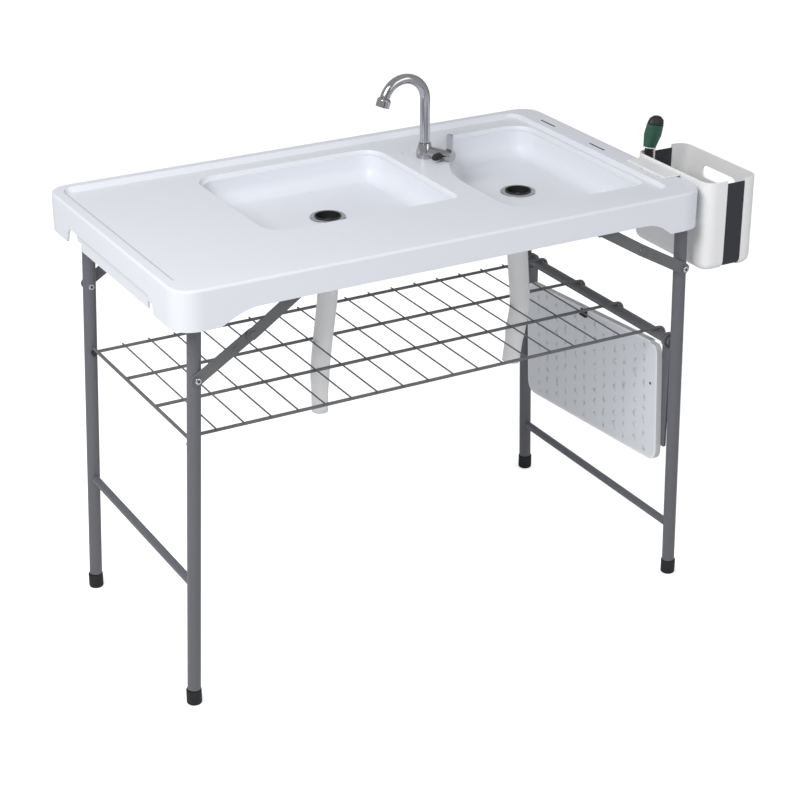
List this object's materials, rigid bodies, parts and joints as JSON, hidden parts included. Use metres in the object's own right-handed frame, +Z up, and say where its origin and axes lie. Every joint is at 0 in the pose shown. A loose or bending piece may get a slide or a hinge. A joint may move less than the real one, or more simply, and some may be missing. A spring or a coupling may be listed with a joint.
{
  "type": "camping sink stand",
  "caption": "Folding camping sink table with moulded basins, swivel faucet, drain hoses, wire shelf, hinged side panel and a hook-on collapsible bin with a brush",
  "frame": {"origin": "centre of the outline, on the floor under the feet", "axes": "+X along the stand towards the bin, +Y to the back rim, +Z up"},
  "size_m": [1.184, 0.608, 0.9839],
  "materials": {
    "white_top": "satin moulded plastic",
    "pale_plastic": "satin moulded plastic",
    "hose_plastic": "smooth soft plastic",
    "dark_band": "soft dark plastic",
    "black_plastic": "matte black plastic",
    "green_plastic": "satin green plastic",
    "chrome_metal": "polished chrome",
    "bright_steel": "stainless steel",
    "grey_paint": "grey powder coat",
    "dark_paint": "dark grey powder coat",
    "foot_rubber": "black rubber",
    "pale_panel": "pale grey board with a fine raised pattern"
  },
  "bodies": {
    "top": {"tabletop": "white_top", "left_drain_flange": "bright_steel", "left_drain_nut": "pale_plastic", "left_drain_hose": "hose_plastic", "right_drain_flange": "bright_steel", "right_drain_nut": "pale_plastic", "right_drain_hose": "hose_plastic", "faucet_body": "chrome_metal", "inlet_connector": "black_plastic", "faucet_nut": "bright_steel", "left_pivot_bracket_front": "dark_paint", "left_pivot_bracket_back": "dark_paint", "right_pivot_bracket_front": "dark_paint", "right_pivot_bracket_back": "dark_paint", "left_brace_bracket_front": "dark_paint", "left_brace_bracket_back": "dark_paint", "right_brace_bracket_front": "dark_paint", "right_brace_bracket_back": "dark_paint"},
    "left_legs": {"left_leg_front": "grey_paint", "left_leg_back": "grey_paint", "left_crossbar": "grey_paint", "left_pivot_bar": "dark_paint", "left_foot_front": "foot_rubber", "left_foot_back": "foot_rubber", "shelf_plug_front": "black_plastic", "shelf_plug_back": "black_plastic"},
    "right_legs": {"right_leg_front": "grey_paint", "right_leg_back": "grey_paint", "right_crossbar": "grey_paint", "right_pivot_bar": "dark_paint", "hinge_bar": "dark_paint", "right_foot_front": "foot_rubber", "right_foot_back": "foot_rubber"},
    "left_lower_braces": {"left_brace_lower_front": "dark_paint", "left_brace_lower_back": "dark_paint"},
    "left_upper_braces": {"left_brace_upper_front": "dark_paint", "left_brace_upper_back": "dark_paint"},
    "right_lower_braces": {"right_brace_lower_front": "dark_paint", "right_brace_lower_back": "dark_paint"},
    "right_upper_braces": {"right_brace_upper_front": "dark_paint", "right_brace_upper_back": "dark_paint"},
    "shelf": {"wire_shelf": "dark_paint"},
    "panel": {"side_panel": "pale_panel", "panel_arm_front": "grey_paint", "panel_arm_back": "grey_paint", "panel_clip": "black_plastic"},
    "spout": {"spout": "chrome_metal", "aerator": "chrome_metal"},
    "lever": {"faucet_lever": "chrome_metal"},
    "left_basket": {"left_drain_basket": "black_plastic"},
    "right_basket": {"right_drain_basket": "black_plastic"},
    "bin": {"bin_rear_shell": "pale_plastic", "bin_band": "dark_band", "bin_hook": "pale_plastic"},
    "bin_front": {"bin_outer_shell": "pale_plastic"},
    "brush": {"brush_head": "black_plastic", "brush_handle": "green_plastic", "brush_cap": "black_plastic"}
  },
  "joints": [
    {"name": "left_legs_fold", "type": "hinge", "parent": "top", "child": "left_legs", "pos_m": [-0.535, 0, 0.782], "axis": [0, -1, 0], "range_deg": [0, 80], "deforming": ["left_drain_hose", "right_drain_hose"]},
    {"name": "right_legs_fold", "type": "hinge", "parent": "top", "child": "right_legs", "pos_m": [0.4415, 0, 0.782], "axis": [0, 1, 0], "range_deg": [0, 40]},
    {"name": "left_lower_brace_fold", "type": "hinge", "parent": "left_legs", "child": "left_lower_braces", "pos_m": [-0.54143, 0, 0.64], "axis": [0, 1, 0], "range_deg": [0, 168]},
    {"name": "left_upper_brace_fold", "type": "hinge", "parent": "left_lower_braces", "child": "left_upper_braces", "pos_m": [-0.4382, 0, 0.7036], "axis": [0, -1, 0], "range_deg": [0, 152]},
    {"name": "right_lower_brace_fold", "type": "hinge", "parent": "right_legs", "child": "right_lower_braces", "pos_m": [0.44453, 0, 0.664], "axis": [0, -1, 0], "range_deg": [0, 80]},
    {"name": "right_upper_brace_fold", "type": "hinge", "parent": "right_lower_braces", "child": "right_upper_braces", "pos_m": [0.34346, 0, 0.7198], "axis": [0, 1, 0], "range_deg": [0, 101]},
    {"name": "shelf_lift", "type": "slide", "parent": "top", "child": "shelf", "axis": [0, 0, 1], "range_m": [0, 0.19]},
    {"name": "panel_swing", "type": "hinge", "parent": "right_legs", "child": "panel", "pos_m": [0.44866, 0, 0.503], "axis": [0, -1, 0], "range_deg": [0, 90]},
    {"name": "spout_swivel", "type": "hinge", "parent": "top", "child": "spout", "pos_m": [0.127, 0.144, 0.85], "axis": [0, 0, 1], "continuous": true},
    {"name": "lever_turn", "type": "hinge", "parent": "top", "child": "lever", "pos_m": [0.127, 0.144, 0.8249], "axis": [-0.4067, 0.9135, 0], "range_deg": [0, 80]},
    {"name": "left_basket_lift", "type": "slide", "parent": "top", "child": "left_basket", "axis": [0, 0, 1], "range_m": [0, 0.08]},
    {"name": "right_basket_lift", "type": "slide", "parent": "top", "child": "right_basket", "axis": [0, 0, 1], "range_m": [0, 0.08]},
    {"name": "bin_lift", "type": "slide", "parent": "top", "child": "bin", "axis": [0, 0, 1], "range_m": [0, 0.06]},
    {"name": "bin_collapse", "type": "slide", "parent": "bin", "child": "bin_front", "axis": [-1, 0, 0], "range_m": [0, 0.04], "deforming": ["bin_band"]},
    {"name": "brush_lift", "type": "slide", "parent": "bin", "child": "brush", "axis": [-0.0456, 0.0285, 0.9986], "range_m": [0, 0.2]}
  ],
  "couplings": [
    {"joint": "right_legs_fold", "follows": "left_legs_fold", "ratio": 0.5},
    {"joint": "left_lower_brace_fold", "follows": "left_legs_fold", "ratio": 2.1},
    {"joint": "left_upper_brace_fold", "follows": "left_legs_fold", "ratio": 1.9},
    {"joint": "right_lower_brace_fold", "follows": "left_legs_fold", "ratio": 0.98525},
    {"joint": "right_upper_brace_fold", "follows": "left_legs_fold", "ratio": 1.228},
    {"joint": "shelf_lift", "follows": "left_legs_fold", "m_per_rad": 0.135}
  ]
}
